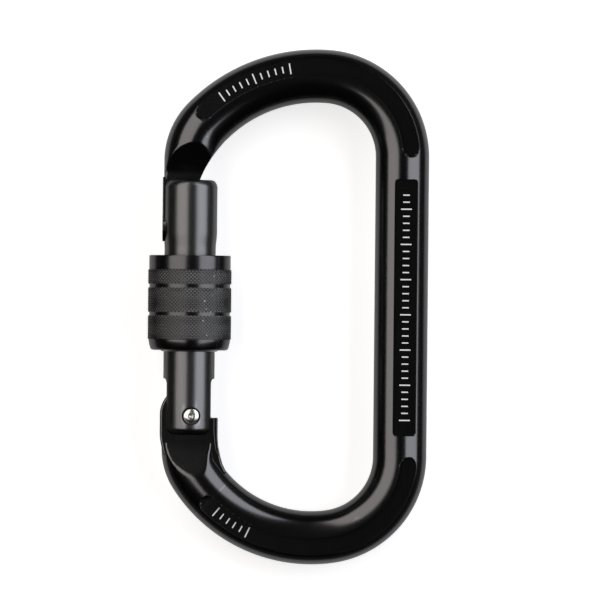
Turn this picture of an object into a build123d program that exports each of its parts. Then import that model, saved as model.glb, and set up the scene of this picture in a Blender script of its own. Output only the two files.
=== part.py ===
"""Locking carabiner with a screw sleeve: an oval forged bar, a keylock gate on a
rivet, and a knurled sleeve that screws up the gate over the nose.

The carabiner lies on its back. X runs from the gate side to the spine, Y from the
hinge end to the nose end, and Z out of the front face. The origin is the middle of
the whole carabiner's box. All sizes are millimetres.
"""

import math
import os

from build123d import *

# ---------------------------------------------------------------- frame, the bent bar
body_height = 110.0  # over the outsides of both bows
axis_spacing = 45.15  # spine's axis to gate's axis
bar_width = 11.4  # bar's section, in the plane of the oval
bar_thickness = 10.8  # bar's section, across that plane

head_shoulder_r = 17.2  # nose end: arc from the spine to the crown
head_shoulder_turn = 86.0  # degrees
head_end_r = 12.0  # arc from the crown down to the nose
head_end_turn = 44.0  # degrees
foot_shoulder_r = 17.3  # the same two arcs at the hinge end
foot_shoulder_turn = 82.0
foot_end_r = 10.0
foot_end_turn = 33.0
nose_gap = 0.1  # the bar ends this far above the gate's top
bar_overrun = 0.7  # the swept bar runs this far into the tang

# ---------------------------------------------------------------- marking panel and channels
panel_length = 54.6
panel_width = 4.9
panel_corner_r = 0.8
panel_floor_z = 4.35
panel_offset = 0.9  # from the spine's axis, outwards
channel_width = 3.8
channel_floor_z = 4.15
channel_offset = 2.3  # from the bar's axis, outwards
channel_start_turn = 6.0  # degrees from the spine end of the bow
channel_end_turn = 46.0  # degrees short of the end of the bow

# ---------------------------------------------------------------- nose and its keylock tongue
nose_half = 1.75  # half thickness of the milled nose and tongue
nose_flat_above_gate = 1.9  # flat part of the nose above the gate's top
mill_ramp_length = 6.2  # the milled flats run out over this length
mill_corner_r = 4.0  # where a flat turns up into its ramp
mill_reach = 12.0  # half the cutter's width
nose_trim_reach = 15.0  # the inner trim clears this much past the gate's axis
tongue_out = 5.95  # tongue's outer edge, from the gate's axis
tongue_in = 1.95  # tongue's inner edge, past the gate's axis
nose_in_start = (8.3, 9.2)  # trimmed inner edge starts: past gate's axis, above gate's top
nose_in_middle = (4.5, 4.9)
bulb_r = 2.65
bulb_below_gate_top = 10.0
tongue_clearance = 0.15

# ---------------------------------------------------------------- gate
gate_top_from_crown = 28.16
gate_top_fillet = 1.15
barrel_r = 5.72  # upper barrel
barrel_length = 11.7
collar_r = 5.47  # thread root and forked end
stem_end_below_rivet = 4.0
stem_end_chamfer = 0.95
neck_taper = 2.5  # from the upper barrel down to the thread's root

# ---------------------------------------------------------------- hinge
rivet_from_foot = 31.5  # rivet's axis above the outside of the lower bow
rivet_offset = 0.6  # rivet's axis, inwards from the gate's axis
rivet_r = 1.5
rivet_head_lip = 0.25  # head's edge outside the shaft
rivet_head_rim = 0.5
rivet_dome = 0.45
rivet_dome_middle = (0.67, 0.3)  # point on the dome: in from the head's edge, height
rivet_dimple_r = 0.3
rivet_seat_gap = 0.25  # round the head
fork_cheek = 1.6  # between the fork's inside and the rivet's seat
rivet_fit = 0.06  # running clearance in the tang
tang_half = 2.7
tang_out = 6.7  # tang's outer edge, from the rivet's axis
tang_in = 5.64
tang_straight = 4.6  # sides run straight this far below the rivet's axis
tang_root_out = (5.9, 8.4)  # plate meets the bar outside: out from, below the rivet's axis
tang_root_in = (7.9, 12.4)  # and inside
tang_lip_r = 6.75
tang_cam_y = 3.1  # flat that the plunger presses on, above the rivet's axis
tang_cam_in = 4.0
tang_cam_out = 1.6
tang_step_below_rivet = 0.4  # step from the cam up to the plate's inner edge
tang_lip_turns = (57, 33, 8)  # degrees above the lip's outer side
tang_flat_below_rivet = 6.5  # the milled flat ends here
tang_edge_fillet = 0.6
fork_clearance = 0.1  # each side of the tang
fork_top_gap = 1.2  # above the tang's lip
fork_corner_r = 1.2

# ---------------------------------------------------------------- spring and plunger
bore_r = 1.55
bore_offset = 0.8  # from the rivet's axis, inwards
bore_depth = 14.0
plunger_clearance = 0.1  # in the bore
plunger_tip_step = 0.15  # tip is thinner than the body
plunger_body_length = 6.6
plunger_spigot_gap = 0.22  # inside the spring
plunger_spigot_length = 1.6
plunger_gap = 0.05
spring_wire_r = 0.18
spring_gap = 0.22  # round the spring, in the bore
spring_turns = 8

# ---------------------------------------------------------------- screw sleeve
sleeve_clearance = 0.88  # bore to barrel
sleeve_wall = 2.01  # bore to the grooves between the knurls
knurl_height = 0.34  # knurl over the grooves
sleeve_length = 20.25
sleeve_travel = 16.5
sleeve_overlap = 0.41  # locked sleeve stands this far above the gate's top
sleeve_collar_height = 0.09  # plain upper collar over the grooves
sleeve_foot_height = 0.14  # foot over the grooves
sleeve_foot_taper = 0.55  # foot is this much narrower at its end
sleeve_foot_length = 2.28
sleeve_foot_fillet = 0.65
sleeve_counterbore_depth = 0.75
sleeve_edge = 0.2
knurl_bury = 0.5  # bands reach this far into the sleeve's wall
knurl_bands = ((2.28, 7.38), (8.08, 13.36), (14.08, 17.22))  # above the sleeve's lower end

# ---------------------------------------------------------------- thread, two starts
thread_lead = 3.0
thread_starts = 2
thread_crest = 0.35
thread_root = 0.8
thread_height = 0.4  # male ridge over the gate's collar
thread_clearance = 0.15  # male crest to the sleeve
thread_crest_gap = 0.13  # female crest to the gate
thread_bury = 0.08  # ridge's root inside the wall that carries it
female_thread_from = 1.25  # above the sleeve's lower end
female_thread_length = 4.0
male_thread_below_sleeve_top = 0.6  # thread ends this far inside the open sleeve

# ---------------------------------------------------------------- wire rings
ring_wire_r = 0.4
stop_ring_proud = 0.28  # ring's middle outside the gate's collar
stop_ring_gap = 20.0  # degrees
ring_seat_gap = 0.04
detent_ring_clearance = 0.07  # inside the ring, over the male thread
detent_ring_gap = 76.0  # degrees, open towards the tongue
detent_ring_above = 6.7  # above the sleeve's lower end
detent_groove_depth = 0.5
detent_groove_width = 1.0

# ---------------------------------------------------------------- sizes that follow
male_crest_r = collar_r + thread_height
female_crest_r = collar_r + thread_crest_gap
sleeve_thread_bore_r = male_crest_r + thread_clearance
sleeve_bore_r = barrel_r + sleeve_clearance
sleeve_groove_r = sleeve_bore_r + sleeve_wall
sleeve_r = sleeve_groove_r + knurl_height
sleeve_collar_r = sleeve_groove_r + sleeve_collar_height
sleeve_foot_r = sleeve_groove_r + sleeve_foot_height
sleeve_foot_end_r = sleeve_foot_r - sleeve_foot_taper
stop_ring_mean_r = collar_r + stop_ring_proud
detent_ring_mean_r = male_crest_r + ring_wire_r + detent_ring_clearance
detent_groove_r = sleeve_bore_r + detent_groove_depth
rivet_head_r = rivet_r + rivet_head_lip
rivet_seat_r = rivet_head_r + rivet_seat_gap
rivet_seat_z = tang_half + fork_clearance + fork_cheek
plunger_r = bore_r - plunger_clearance
plunger_tip_r = plunger_r - plunger_tip_step
spring_mean_r = bore_r - spring_gap - spring_wire_r
plunger_spigot_r = spring_mean_r - spring_wire_r - plunger_spigot_gap

# ---------------------------------------------------------------- places that follow
overall_width = axis_spacing + sleeve_r + bar_width / 2
gate_x = sleeve_r - overall_width / 2
spine_x = gate_x + axis_spacing
gate_top_y = body_height / 2 - gate_top_from_crown
rivet_x = gate_x + rivet_offset
rivet_y = rivet_from_foot - body_height / 2
bulb_y = gate_top_y - bulb_below_gate_top
sleeve_y = gate_top_y + sleeve_overlap - sleeve_length - sleeve_travel
thread_top_y = sleeve_y + sleeve_length - male_thread_below_sleeve_top
tang_flat_y = rivet_y - tang_flat_below_rivet
nose_flat_y = gate_top_y + nose_flat_above_gate
fork_top_y = rivet_y + tang_lip_r + fork_top_gap
bore_x = rivet_x + bore_offset
gate_axis = Axis((gate_x, 0, 0), (0, 1, 0))
rivet_axis = Axis((rivet_x, rivet_y, 0), (0, 0, 1))
overcut = 1.0  # cutters reach this far past what they cut


def crown_radius(shoulder_r, shoulder_turn, end_r, end_turn):
    """Radius of the middle arc that lands a bow's last arc on the gate's axis."""
    first = math.cos(math.radians(shoulder_turn))
    last = -math.cos(math.radians(end_turn))
    span = shoulder_r * (1 - first) + end_r * (1 + last) - axis_spacing
    return span / (last - first)


def bow_start(shoulder_r, shoulder_turn, crown_r):
    """Height above the middle at which the straight spine turns into a bow."""
    rise = (shoulder_r - crown_r) * math.sin(math.radians(shoulder_turn))
    return (body_height - bar_width) / 2 - crown_r - rise


def bow_path(side, offset, start_turn, end_turn, shoulder_r, shoulder_turn, end_r, last_turn):
    """Tangent arcs of one bow, side +1 at the nose end and -1 at the hinge end.

    The line runs offset outside the bar's axis, and start_turn and end_turn degrees
    of it are left off at the spine's end and at the gate's end, where that can leave
    off the whole of the last arc.
    """
    crown_r = crown_radius(shoulder_r, shoulder_turn, end_r, last_turn)
    crown_turn = 180 - shoulder_turn - max(last_turn, end_turn)
    middle = Vector(spine_x - shoulder_r, bow_start(shoulder_r, shoulder_turn, crown_r))
    first = math.radians(start_turn)
    reach = shoulder_r + offset
    start = middle + Vector(reach * math.cos(first), reach * math.sin(first))
    heading = Vector(-math.sin(first), side * math.cos(first))
    shoulder = JernArc(
        (start.X, side * start.Y), heading, reach, side * (shoulder_turn - start_turn)
    )
    crown = JernArc(shoulder @ 1, shoulder % 1, crown_r + offset, side * crown_turn)
    if end_turn >= last_turn:
        return crown
    return JernArc(crown @ 1, crown % 1, end_r + offset, side * (last_turn - end_turn))


head_bow = (head_shoulder_r, head_shoulder_turn, head_end_r, head_end_turn)
foot_bow = (foot_shoulder_r, foot_shoulder_turn, foot_end_r, foot_end_turn)


def keyhole_ring(half_width, round_r, out, inside):
    """Keyhole profile carried round the rivet's axis and kept between two X planes.

    The tongue is this shape, and so is the slot it sits in: the gate can swing
    without either changing its clearance.
    """
    reach = bulb_y - rivet_y
    top = gate_top_y + overcut - rivet_y
    profile_plane = Plane(origin=(rivet_x, rivet_y, 0), x_dir=(0, 1, 0), z_dir=(1, 0, 0))
    with BuildPart() as ring:
        with BuildSketch(profile_plane):
            with Locations((reach, 0)):
                Circle(round_r)
            with Locations(((reach + top) / 2, 0)):
                Rectangle(top - reach, 2 * half_width)
        revolve(axis=rivet_axis)
        with BuildSketch(Plane.XY):
            with Locations((gate_x + (inside - out) / 2, gate_top_y)):
                Rectangle(inside + out, body_height / 2)
        extrude(amount=bar_thickness, both=True, mode=Mode.INTERSECT)
    return ring.part


def tube_profile(points):
    """Filled outline through a list of (radius, height) points beside the gate's axis."""
    Polygon([(gate_x + radius, height) for radius, height in points], align=None)


def thread_ridges(from_y, length, root_r, crest_r):
    """One helical ridge for each start, standing on root_r and pointing at crest_r."""
    with BuildPart() as ridge:
        with BuildLine() as coil:
            Helix(thread_lead, length, root_r, center=(gate_x, from_y, 0), direction=(0, 1, 0))
        wire = coil.wire()
        outward = (wire @ 0) - Vector(gate_x, from_y, 0)
        with BuildSketch(Plane(origin=wire @ 0, x_dir=outward, z_dir=wire % 0)):
            Polygon(
                [
                    (0, -thread_root / 2),
                    (0, thread_root / 2),
                    (crest_r - root_r, thread_crest / 2),
                    (crest_r - root_r, -thread_crest / 2),
                ],
                align=None,
            )
        sweep(path=wire, is_frenet=True)
    turns = [360 * start / thread_starts for start in range(thread_starts)]
    return [ridge.part.rotate(gate_axis, turn) for turn in turns]


def channel(side, bow):
    """Flat-bottomed, round-ended channel along one bow, cut from the front."""
    with BuildPart() as tool:
        with BuildSketch(Plane.XY.offset(channel_floor_z)):
            with BuildLine() as route:
                bow_path(side, channel_offset, channel_start_turn, channel_end_turn, *bow)
            trace(line_width=channel_width)
            with Locations(route.wire() @ 0, route.wire() @ 1):
                Circle(channel_width / 2)
        extrude(amount=bar_thickness)
    return tool.part


def milled_flat(side, flat_y, half, middle_x):
    """Cutter that thins one end of the bar: a flat with a ramp back to full thickness."""
    top = bar_thickness / 2 + overcut
    rise = mill_ramp_length * (top - half) / (bar_thickness / 2 - half)
    with BuildPart() as tool:
        with BuildSketch(Plane.YZ.offset(middle_x)):
            with BuildLine():
                Polyline(
                    (0, half),
                    (flat_y, half),
                    (flat_y + side * rise, top),
                    (0, top),
                    close=True,
                )
            corner = make_face()
            fillet(corner.vertices().sort_by_distance((flat_y, half))[0], mill_corner_r)
        extrude(amount=mill_reach, both=True)
    return tool.part


# ================================================================ frame_body
tongue = keyhole_ring(nose_half, bulb_r, tongue_out, tongue_in)

with BuildPart() as panel:
    with BuildSketch(Plane.XY.offset(panel_floor_z)):
        with Locations((spine_x + panel_offset, 0)):
            RectangleRounded(panel_width, panel_length, panel_corner_r)
    extrude(amount=bar_thickness)

face_cuts = [
    panel.part,
    channel(1, head_bow),
    channel(-1, foot_bow),
    milled_flat(1, nose_flat_y, nose_half, gate_x),
    milled_flat(-1, tang_flat_y, tang_half, rivet_x),
]

with BuildPart() as frame_body:
    # Tang: a plate with a hooked lip outside and a cam flat for the plunger.
    with BuildSketch(Plane.XY.offset(-tang_half)):
        lip = [
            Vector(rivet_x, rivet_y) + Vector(-tang_lip_r, 0).rotate(Axis.Z, -turn)
            for turn in tang_lip_turns
        ]
        with BuildLine():
            ThreePointArc(*lip)
            Polyline(
                lip[-1],
                (rivet_x - tang_out, rivet_y),
                (rivet_x - tang_out, rivet_y - tang_straight),
                (rivet_x - tang_root_out[0], rivet_y - tang_root_out[1]),
                (rivet_x, tang_flat_y - mill_ramp_length),
                (rivet_x + tang_root_in[0], rivet_y - tang_root_in[1]),
                (rivet_x + tang_in, rivet_y - tang_straight),
                (rivet_x + tang_in, rivet_y - tang_step_below_rivet),
                (rivet_x + tang_cam_in, rivet_y - tang_step_below_rivet),
                (rivet_x + tang_cam_in, rivet_y + tang_cam_y),
                (rivet_x - tang_cam_out, rivet_y + tang_cam_y),
                lip[0],
            )
        make_face()
    extrude(amount=2 * tang_half)
    fillet(frame_body.faces().filter_by(Axis.Z).edges(), tang_edge_fillet)

    # Bar: an elliptical section carried round both bows and the spine.
    with BuildLine() as bar_line:
        head_end = bow_path(1, 0, 0, 0, *head_bow)
        Line(head_end @ 1, (gate_x, gate_top_y + nose_gap))
        foot_end = bow_path(-1, 0, 0, 0, *foot_bow)
        Line(foot_end @ 1, (gate_x, tang_flat_y + bar_overrun))
        Line(
            (spine_x, bow_start(*head_bow[:2], crown_radius(*head_bow))),
            (spine_x, -bow_start(*foot_bow[:2], crown_radius(*foot_bow))),
        )
    bar_wire = bar_line.wire()
    with BuildSketch(Plane(origin=bar_wire @ 0, x_dir=(0, 0, 1), z_dir=bar_wire % 0)):
        Ellipse(bar_thickness / 2, bar_width / 2)
    sweep(path=bar_wire)

    # Milled ends, marking panels and channels, the same on both faces.
    for cut in face_cuts:
        add(cut, mode=Mode.SUBTRACT)
        add(mirror(cut, about=Plane.XY, mode=Mode.PRIVATE), mode=Mode.SUBTRACT)

    # Inner edge of the nose, trimmed in to the tongue.
    with BuildSketch(Plane.XY.offset(-bar_thickness)):
        inner_low = (gate_x + tongue_in, gate_top_y)
        inner_top = (gate_x + nose_in_start[0], gate_top_y + nose_in_start[1])
        with BuildLine():
            ThreePointArc(
                inner_top,
                (gate_x + nose_in_middle[0], gate_top_y + nose_in_middle[1]),
                inner_low,
            )
            Polyline(
                inner_low,
                (gate_x + tongue_in, gate_top_y - barrel_r),
                (gate_x + nose_trim_reach, gate_top_y - barrel_r),
                (gate_x + nose_trim_reach, gate_top_y + nose_in_start[1]),
                inner_top,
            )
        make_face()
    extrude(amount=2 * bar_thickness, mode=Mode.SUBTRACT)
    add(tongue)
    with Locations((rivet_x, rivet_y)):
        Hole(rivet_r + rivet_fit)

# ================================================================ gate_barrel
slot = keyhole_ring(
    nose_half + tongue_clearance,
    bulb_r + tongue_clearance,
    tongue_out + overcut,
    tongue_in + tongue_clearance,
)
stem_y = rivet_y - stem_end_below_rivet
stop_ring_y = sleeve_y + sleeve_counterbore_depth - ring_wire_r - ring_seat_gap
female_thread_y = sleeve_y + female_thread_from
male_thread_y = female_thread_y + thread_lead / thread_starts / 2

with BuildPart() as gate_barrel:
    with BuildSketch(Plane.XY):
        tube_profile(
            [
                (0, stem_y),
                (collar_r - stem_end_chamfer, stem_y),
                (collar_r, stem_y + stem_end_chamfer),
                (collar_r, gate_top_y - barrel_length - neck_taper),
                (barrel_r, gate_top_y - barrel_length),
                (barrel_r, gate_top_y - gate_top_fillet),
                (barrel_r - gate_top_fillet, gate_top_y),
                (0, gate_top_y),
            ]
        )
    revolve(axis=gate_axis)
    add(slot, mode=Mode.SUBTRACT)
    # Fork for the tang.
    with BuildSketch(Plane.YZ.offset(gate_x)) as fork:
        with Locations(((fork_top_y + stem_y - overcut) / 2, 0)):
            Rectangle(fork_top_y - stem_y + overcut, 2 * (tang_half + fork_clearance))
        fillet(fork.vertices().group_by(Axis.X)[-1], fork_corner_r)
    extrude(amount=2 * collar_r, both=True, mode=Mode.SUBTRACT)
    # Bore for the spring and plunger.
    with BuildSketch(Plane((bore_x, fork_top_y - overcut, 0), x_dir=(1, 0, 0), z_dir=(0, 1, 0))):
        Circle(bore_r)
    extrude(amount=bore_depth + overcut, mode=Mode.SUBTRACT)
    # Rivet hole, sunk at both ends.
    with Locations((rivet_x, rivet_y)):
        Hole(rivet_r)
    for side in (1, -1):
        with BuildSketch(Plane.XY.offset(side * rivet_seat_z)):
            with Locations((rivet_x, rivet_y)):
                Circle(rivet_seat_r)
        extrude(amount=side * collar_r, mode=Mode.SUBTRACT)
    # Groove that holds the stop ring.
    with BuildSketch(Plane.XY):
        with Locations((gate_x + stop_ring_mean_r, stop_ring_y)):
            Rectangle(2 * (ring_wire_r + ring_seat_gap), 2 * (ring_wire_r + ring_seat_gap))
    revolve(axis=gate_axis, mode=Mode.SUBTRACT)
    add(
        thread_ridges(
            male_thread_y, thread_top_y - male_thread_y, collar_r - thread_bury, male_crest_r
        )
    )

# ================================================================ hinge_rivet
with BuildPart() as hinge_rivet:
    head_top = rivet_seat_z + rivet_head_rim
    dimple_z = head_top + rivet_dome - rivet_dimple_r
    with BuildSketch(Plane.XZ.offset(-rivet_y)):
        with BuildLine():
            Polyline(
                (rivet_x, 0),
                (rivet_x + rivet_r, 0),
                (rivet_x + rivet_r, rivet_seat_z),
                (rivet_x + rivet_head_r, rivet_seat_z),
                (rivet_x + rivet_head_r, head_top),
            )
            ThreePointArc(
                (rivet_x + rivet_head_r, head_top),
                (rivet_x + rivet_head_r - rivet_dome_middle[0], head_top + rivet_dome_middle[1]),
                (rivet_x + rivet_dimple_r, head_top + rivet_dome),
            )
            Polyline(
                (rivet_x + rivet_dimple_r, head_top + rivet_dome),
                (rivet_x, dimple_z),
                (rivet_x, 0),
            )
        make_face()
    revolve(axis=rivet_axis)
    mirror(about=Plane.XY)

# ================================================================ spring_plunger
tip_y = rivet_y + tang_cam_y + plunger_gap
shoulder_y = fork_top_y + bore_r / 2
spigot_y = shoulder_y + plunger_body_length
spring_top_y = fork_top_y + bore_depth
bore_axis = Axis((bore_x, 0, 0), (0, 1, 0))

with BuildPart() as spring_plunger:
    with BuildSketch(Plane.XY):
        with BuildLine():
            ThreePointArc(
                (bore_x, tip_y),
                (bore_x + plunger_tip_r * math.sin(math.pi / 4),
                 tip_y + plunger_tip_r * (1 - math.cos(math.pi / 4))),
                (bore_x + plunger_tip_r, tip_y + plunger_tip_r),
            )
            Polyline(
                (bore_x + plunger_tip_r, tip_y + plunger_tip_r),
                (bore_x + plunger_tip_r, shoulder_y),
                (bore_x + plunger_r, shoulder_y + plunger_r - plunger_tip_r),
                (bore_x + plunger_r, spigot_y),
                (bore_x + plunger_spigot_r, spigot_y),
                (bore_x + plunger_spigot_r, spigot_y + plunger_spigot_length),
                (bore_x, spigot_y + plunger_spigot_length),
                (bore_x, tip_y),
            )
        make_face()
    revolve(axis=bore_axis)

# ================================================================ gate_spring
with BuildPart() as gate_spring:
    coil_length = spring_top_y - spigot_y - 2 * spring_wire_r - 2 * plunger_gap
    coil_y = spigot_y + spring_wire_r + plunger_gap
    with BuildLine() as spring_coil:
        Helix(
            coil_length / spring_turns,
            coil_length,
            spring_mean_r,
            center=(bore_x, coil_y, 0),
            direction=(0, 1, 0),
        )
    spring_wire = spring_coil.wire()
    with BuildSketch(Plane(origin=spring_wire @ 0, z_dir=spring_wire % 0)):
        Circle(spring_wire_r)
    sweep(path=spring_wire, is_frenet=True)

# ================================================================ locking_sleeve
sleeve_top_y = sleeve_y + sleeve_length
thread_end_y = sleeve_y + female_thread_from + female_thread_length
detent_y = sleeve_y + detent_ring_above
detent_low_y = detent_y - detent_groove_width / 2
knurl_top_y = sleeve_y + knurl_bands[-1][1]

with BuildPart() as locking_sleeve:
    with BuildSketch(Plane.XY):
        tube_profile(
            [
                (sleeve_bore_r, sleeve_y),
                (sleeve_foot_end_r, sleeve_y),
                (sleeve_foot_r, sleeve_y + sleeve_foot_length),
                (sleeve_groove_r, sleeve_y + sleeve_foot_length),
                (sleeve_groove_r, knurl_top_y),
                (sleeve_collar_r, knurl_top_y),
                (sleeve_collar_r, sleeve_top_y - sleeve_edge),
                (sleeve_collar_r - sleeve_edge, sleeve_top_y),
                (sleeve_bore_r + sleeve_edge, sleeve_top_y),
                (sleeve_bore_r, sleeve_top_y - sleeve_edge),
                (sleeve_bore_r, detent_low_y + detent_groove_width),
                (detent_groove_r, detent_low_y + detent_groove_width),
                (detent_groove_r, detent_low_y),
                (sleeve_bore_r, detent_low_y),
                (sleeve_bore_r, thread_end_y + sleeve_bore_r - sleeve_thread_bore_r),
                (sleeve_thread_bore_r, thread_end_y),
                (sleeve_thread_bore_r, sleeve_y + sleeve_counterbore_depth),
                (sleeve_bore_r, sleeve_y + sleeve_counterbore_depth),
            ]
        )
    revolve(axis=gate_axis)
    fillet(
        locking_sleeve.edges()
        .filter_by(GeomType.CIRCLE)
        .filter_by(lambda edge: abs(edge.radius - sleeve_foot_end_r) < 0.01),
        sleeve_foot_fillet,
    )
    with BuildSketch(Plane.XY):
        for low, high in knurl_bands:
            tube_profile(
                [
                    (sleeve_groove_r - knurl_bury, sleeve_y + low),
                    (sleeve_r, sleeve_y + low),
                    (sleeve_r, sleeve_y + high),
                    (sleeve_groove_r - knurl_bury, sleeve_y + high),
                ]
            )
    revolve(axis=gate_axis)
    add(
        thread_ridges(
            female_thread_y,
            female_thread_length,
            sleeve_thread_bore_r + thread_bury,
            female_crest_r,
        )
    )


def wire_ring(mean_r, middle_y, gap_degrees, gap_at):
    """Split ring of round wire about the gate's axis, its gap centred on gap_at degrees."""
    start = Plane((gate_x, middle_y, 0), x_dir=(1, 0, 0), z_dir=(0, 0, 1))
    start = start.rotated((0, gap_at + gap_degrees / 2, 0))
    with BuildPart() as ring:
        with BuildSketch(start):
            with Locations((mean_r, 0)):
                Circle(ring_wire_r)
        revolve(axis=gate_axis, revolution_arc=360 - gap_degrees)
    return ring.part


sleeve_stop_ring = wire_ring(stop_ring_mean_r, stop_ring_y, stop_ring_gap, 90)
sleeve_detent_ring = wire_ring(detent_ring_mean_r, detent_y, detent_ring_gap, 180)

# ================================================================ files
pieces = {
    "frame_body": frame_body.part,
    "gate_barrel": gate_barrel.part,
    "hinge_rivet": hinge_rivet.part,
    "spring_plunger": spring_plunger.part,
    "gate_spring": gate_spring.part,
    "locking_sleeve": locking_sleeve.part,
    "sleeve_stop_ring": sleeve_stop_ring,
    "sleeve_detent_ring": sleeve_detent_ring,
}
os.makedirs("parts", exist_ok=True)
for name, piece in pieces.items():
    piece.label = name
    export_step(piece, f"parts/{name}.step")
    print(name, len(piece.solids()), round(piece.volume, 1), piece.is_valid)
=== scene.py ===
# %% [markdown]
# # A locking carabiner in black anodised aluminium
# A carabiner is a bent bar with a gate that hinges on a rivet, and this one has a
# knurled sleeve that screws up over the nose to lock the gate. The CAD model says
# where everything is and how it moves. This notebook rebuilds the surfaces that are
# seen, with the rounded edges, knurl and finishes that the CAD leaves out. Every
# shape is a formula worked out with numpy on a grid of points.

import math

import bpy
import numpy as np
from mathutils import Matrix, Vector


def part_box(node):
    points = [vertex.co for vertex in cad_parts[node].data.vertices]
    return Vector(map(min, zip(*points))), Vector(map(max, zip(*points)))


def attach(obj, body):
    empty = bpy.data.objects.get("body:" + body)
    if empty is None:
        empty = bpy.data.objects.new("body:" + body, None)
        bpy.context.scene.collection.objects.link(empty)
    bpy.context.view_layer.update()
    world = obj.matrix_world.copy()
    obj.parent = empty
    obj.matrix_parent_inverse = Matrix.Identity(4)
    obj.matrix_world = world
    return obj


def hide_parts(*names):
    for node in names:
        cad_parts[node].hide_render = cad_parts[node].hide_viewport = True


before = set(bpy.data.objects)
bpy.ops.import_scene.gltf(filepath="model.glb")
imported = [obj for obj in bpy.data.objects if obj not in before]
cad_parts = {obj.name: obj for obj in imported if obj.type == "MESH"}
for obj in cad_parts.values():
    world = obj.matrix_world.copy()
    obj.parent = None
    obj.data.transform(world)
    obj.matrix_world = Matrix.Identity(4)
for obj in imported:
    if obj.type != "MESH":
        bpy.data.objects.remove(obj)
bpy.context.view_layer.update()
mm = 0.001

# %% [markdown]
# The places that the pieces share come from the CAD boxes: the spine's outer side,
# the gate's axis and top, the rivet, and the sleeve's lower end. The names are the
# ones a maker would use, and all of them are in millimetres.

# %% Places taken from the CAD boxes
def cad_box(node):
    """Lowest and highest corner of a CAD node in millimetres."""
    low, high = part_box(node)
    return np.array(low) / mm, np.array(high) / mm


bar_high = cad_box("frame_body")[1]
gate_high = cad_box("gate_barrel")[1]
sleeve_low, sleeve_high = cad_box("locking_sleeve")
rivet_low, rivet_high = cad_box("hinge_rivet")

bar_half_width, bar_half_thick = 5.7, 5.4
spine_x = bar_high[0] - bar_half_width
gate_x = (sleeve_low[0] + sleeve_high[0]) / 2
gate_top, sleeve_y = gate_high[1], sleeve_low[1]
rivet_x, rivet_y = (rivet_low[0] + rivet_high[0]) / 2, (rivet_low[1] + rivet_high[1]) / 2
nose_y, tang_y = gate_top + 1.9, rivet_y - 6.5
print("gate axis x", gate_x, "gate top", gate_top, "rivet", rivet_x, rivet_y, "spine x", spine_x)

# %% [markdown]
# Two helpers make all the meshes. One turns a grid of points into faces, and closes
# it round the columns and at both ends. The other adds an object, tells the frame
# which body carries it, and shades it smooth except at real edges.

# %% Grid to mesh
def grid_faces(rows, columns, wrap_rows=False):
    """Quads between neighbouring rows and columns, the columns closed into a ring."""
    row = np.arange(rows if wrap_rows else rows - 1)[:, None]
    column = np.arange(columns)[None, :]
    following = (column + 1) % columns
    up = (row + 1) % rows
    corners = [row * columns + column, row * columns + following,
               up * columns + following, up * columns + column]
    return np.stack(np.broadcast_arrays(*corners), axis=-1).reshape(-1, 4)


def add_piece(name, meshes, body, material, nodes=(), edge=35.0):
    """One object from (points, quads, caps) lists; caps are closed rings of point numbers."""
    points, faces, start = [], [], 0
    for places, quads, caps in meshes:
        places = np.asarray(places, float).reshape(-1, 3)
        points.append(places * mm)
        faces += (quads + start).tolist()
        faces += [[int(n) + start for n in cap] for cap in caps]
        start += len(places)
    mesh = bpy.data.meshes.new(name)
    mesh.from_pydata(np.concatenate(points).tolist(), [], faces)
    mesh.validate()
    mesh.shade_smooth()
    mesh.set_sharp_from_angle(angle=math.radians(edge))
    mesh.materials.append(material)
    piece = bpy.data.objects.new(name, mesh)
    bpy.context.scene.collection.objects.link(piece)
    if body:
        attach(piece, body)
    if nodes:
        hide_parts(*nodes)
    return piece


def soften(piece, width, segments=2, angle=38.0):
    """Round off the edges that are sharper than angle, width in millimetres."""
    bevel = piece.modifiers.new("edge_round", "BEVEL")
    bevel.width, bevel.segments = width * mm, segments
    bevel.limit_method, bevel.angle_limit = "ANGLE", math.radians(angle)
    bevel.harden_normals = True
    bevel.miter_outer = "MITER_ARC"
    return piece


# %% [markdown]
# ## Camera and light
# The carabiner lies on its back, and the camera looks straight down at it through a
# long lens. Black anodising shows almost nothing but what it reflects, so the lights
# are drawn like a product studio's: two long softboxes beside the object, one a
# little warm and one a little cool, and a dark room between them. The pale floor
# gives the thin grey rim all round the bar.

# %% Camera
scene = bpy.context.scene
scene.view_settings.view_transform = "Standard"
view_width = 128.1
camera_height = 2000.0
lens = bpy.data.cameras.new("studio_camera")
lens.sensor_width = 36.0
lens.lens = 36.0 * camera_height / view_width
lens.clip_end = 20.0
camera = bpy.data.objects.new("studio_camera", lens)
camera.location = (2.61 * mm, 1.44 * mm, camera_height * mm)
camera.rotation_euler = (0, 0, math.radians(0.56))
scene.collection.objects.link(camera)
scene.camera = camera
print("camera height", camera_height, "lens", round(lens.lens, 1))


# %% Softboxes
def softbox(name, x_from, x_to, y_from, y_to, height, radiance, colour):
    """A level panel light over the object; its power is radiance times pi times area."""
    lamp = bpy.data.lights.new(name, "AREA")
    lamp.shape = "RECTANGLE"
    lamp.size, lamp.size_y = x_to - x_from, y_to - y_from
    lamp.energy = radiance * math.pi * lamp.size * lamp.size_y
    lamp.color = colour
    panel = bpy.data.objects.new(name, lamp)
    panel.location = ((x_from + x_to) / 2, (y_from + y_to) / 2, height)
    scene.collection.objects.link(panel)
    return panel


softbox("softbox_left", -0.90, -0.115, -0.19, 1.2, 0.5, 2.1, (1.0, 0.95, 0.90))
softbox("softbox_right", 0.244, 1.9, -0.26, 1.2, 0.5, 2.7, (0.95, 0.96, 1.0))

# %% [markdown]
# The world is a dark room for reflections and light, and plain white behind the
# floor for the camera. Light Path tells the two apart.

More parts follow.
